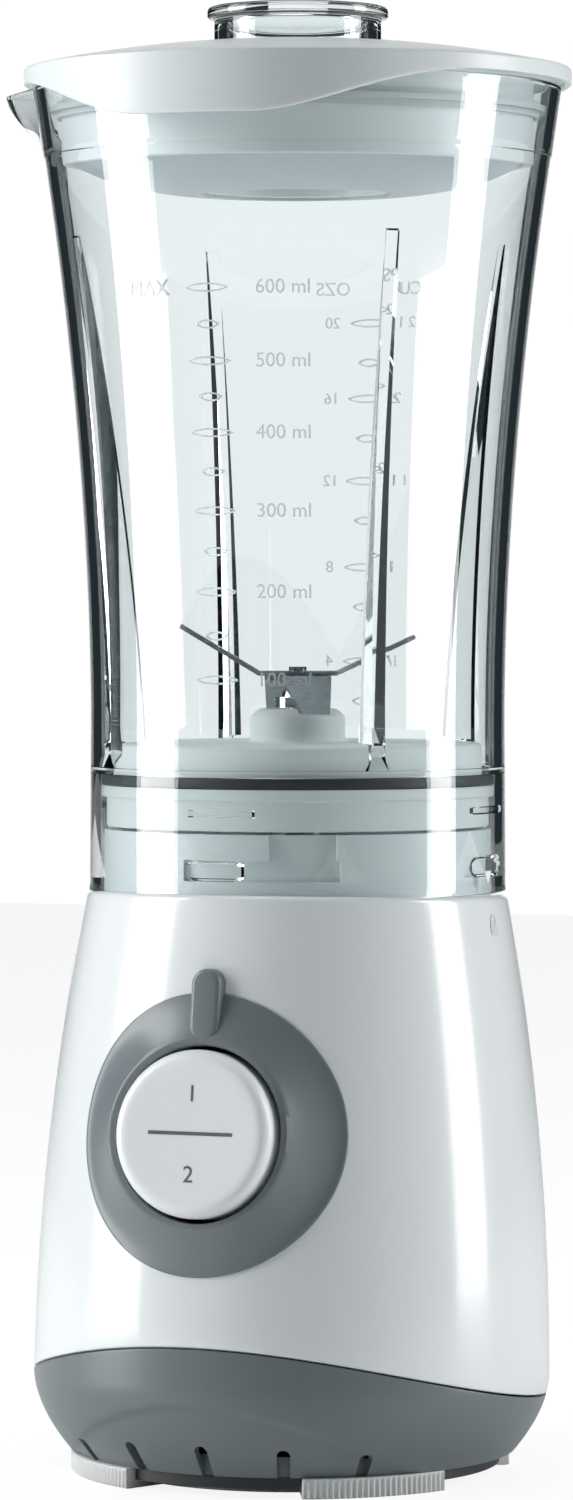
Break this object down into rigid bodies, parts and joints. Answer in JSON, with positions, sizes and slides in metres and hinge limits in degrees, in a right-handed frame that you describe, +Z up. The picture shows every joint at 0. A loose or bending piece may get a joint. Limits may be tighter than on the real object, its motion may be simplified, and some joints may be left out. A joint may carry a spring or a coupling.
{
  "type": "countertop blender",
  "caption": "Compact countertop blender: leaning motor base with a rocker control, clear bayonet jug with spout, removable blade unit, dished lid and clear filler cap.",
  "frame": {"origin": "on the jug's and motor's common axis, at the table plane under the feet", "axes": "+Z up; the control faces -Y; the pouring spout points to -X; the cord leaves towards +Y"},
  "size_m": [0.1282, 0.12, 0.3128],
  "materials": {
    "white_gloss": "glossy moulded",
    "white_collar": "semi-gloss moulded",
    "white_satin": "satin moulded",
    "grey_satin": "satin moulded",
    "black_plastic": "matte moulded",
    "clear_rubber": "translucent, ribbed",
    "dark_rubber": "smooth",
    "pale_rubber": "smooth",
    "steel": "turned",
    "blade_steel": "ground",
    "polished_steel": "polished",
    "cast_zinc": "cast",
    "lamination": "stacked sheet",
    "enamelled_copper": "enamelled wire",
    "copper": "turned copper",
    "brass_tube": "formed sheet",
    "bronze": "sintered",
    "carbon": "pressed carbon",
    "nylon": "moulded",
    "board_green": "solder mask",
    "capacitor_film": "cast resin",
    "red_plastic": "moulded",
    "frosted_plastic": "frosted clear",
    "clear_plastic": "clear moulded"
  },
  "bodies": {
    "base": {"housing": "white_gloss", "bayonet_collar": "white_collar", "lower_cover": "grey_satin", "bottom_plate": "black_plastic", "rubber_feet": "clear_rubber", "control_ring": "grey_satin", "switch_frame": "black_plastic", "pivot_pin": "steel", "speed_switches": "black_plastic", "speed_board": "board_green", "capacitor": "capacitor_film", "speed_diode": "black_plastic", "frame_screws": "steel", "upper_bracket": "cast_zinc", "lower_bracket": "cast_zinc", "upper_bearing": "steel", "lower_bearing": "steel", "stator_core": "lamination", "field_coils": "enamelled_copper", "brush_holders": "brass_tube", "carbon_brushes": "carbon", "brush_springs": "steel", "motor_mounts": "dark_rubber", "mount_screws": "steel", "stator_bolts": "steel", "fan_baffle": "black_plastic", "cord_bush": "black_plastic", "cord_clamp": "black_plastic", "clamp_screws": "steel", "base_screws": "steel", "collar_screws": "steel", "deck_seal": "dark_rubber"},
    "rotor": {"motor_shaft": "steel", "armature_core": "lamination", "armature_winding": "enamelled_copper", "commutator": "copper", "cooling_fan": "nylon", "drive_coupling": "black_plastic"},
    "button": {"button": "white_gloss"},
    "upper_plunger": {"upper_plunger": "red_plastic"},
    "lower_plunger": {"lower_plunger": "red_plastic"},
    "blade_unit": {"blade_base": "frosted_plastic", "base_gasket": "dark_rubber", "shaft_bush": "bronze", "shaft_seal": "dark_rubber"},
    "blade": {"blade_shaft": "steel", "driven_coupling": "black_plastic", "thrust_washer": "steel", "blade_spacer": "polished_steel", "lower_blade": "blade_steel", "upper_blade": "blade_steel", "blade_screw": "polished_steel"},
    "jug": {"jug": "clear_plastic"},
    "lid": {"lid": "white_satin", "lid_liner": "white_satin", "lid_seal": "pale_rubber"},
    "cap": {"filler_cap": "clear_plastic"}
  },
  "joints": [
    {"name": "motor_spin", "type": "hinge", "parent": "base", "child": "rotor", "pos_m": [0, 0, 0.06], "axis": [0, 0, 1], "continuous": true},
    {"name": "button_rock", "type": "hinge", "parent": "base", "child": "button", "pos_m": [0, -0.04945, 0.07519], "axis": [-1, 0, 0], "range_deg": [-4.5, 4.5], "stiffness_Nm_per_rad": 0.25},
    {"name": "upper_plunger_slide", "type": "slide", "parent": "base", "child": "upper_plunger", "axis": [0, 0.9908, -0.1356], "range_m": [-0.00085, 0.00085]},
    {"name": "lower_plunger_slide", "type": "slide", "parent": "base", "child": "lower_plunger", "axis": [0, 0.9908, -0.1356], "range_m": [-0.00085, 0.00085]},
    {"name": "jug_lift", "type": "slide", "parent": "base", "child": "blade_unit", "axis": [0, 0, 1], "range_m": [0, 0.1]},
    {"name": "blade_spin", "type": "hinge", "parent": "blade_unit", "child": "blade", "pos_m": [0, 0, 0.16], "axis": [0, 0, 1], "continuous": true},
    {"name": "jug_turn", "type": "hinge", "parent": "blade_unit", "child": "jug", "pos_m": [0, 0, 0.13], "axis": [0, 0, 1], "range_deg": [0, 26]},
    {"name": "lid_lift", "type": "slide", "parent": "jug", "child": "lid", "axis": [0, 0, 1], "range_m": [0, 0.08]},
    {"name": "cap_lift", "type": "slide", "parent": "lid", "child": "cap", "axis": [0, 0, 1], "range_m": [0, 0.06]}
  ],
  "couplings": [
    {"joint": "blade_spin", "follows": "motor_spin", "ratio": 1},
    {"joint": "upper_plunger_slide", "follows": "button_rock", "m_per_rad": 0.0105},
    {"joint": "lower_plunger_slide", "follows": "button_rock", "m_per_rad": -0.0105}
  ]
}
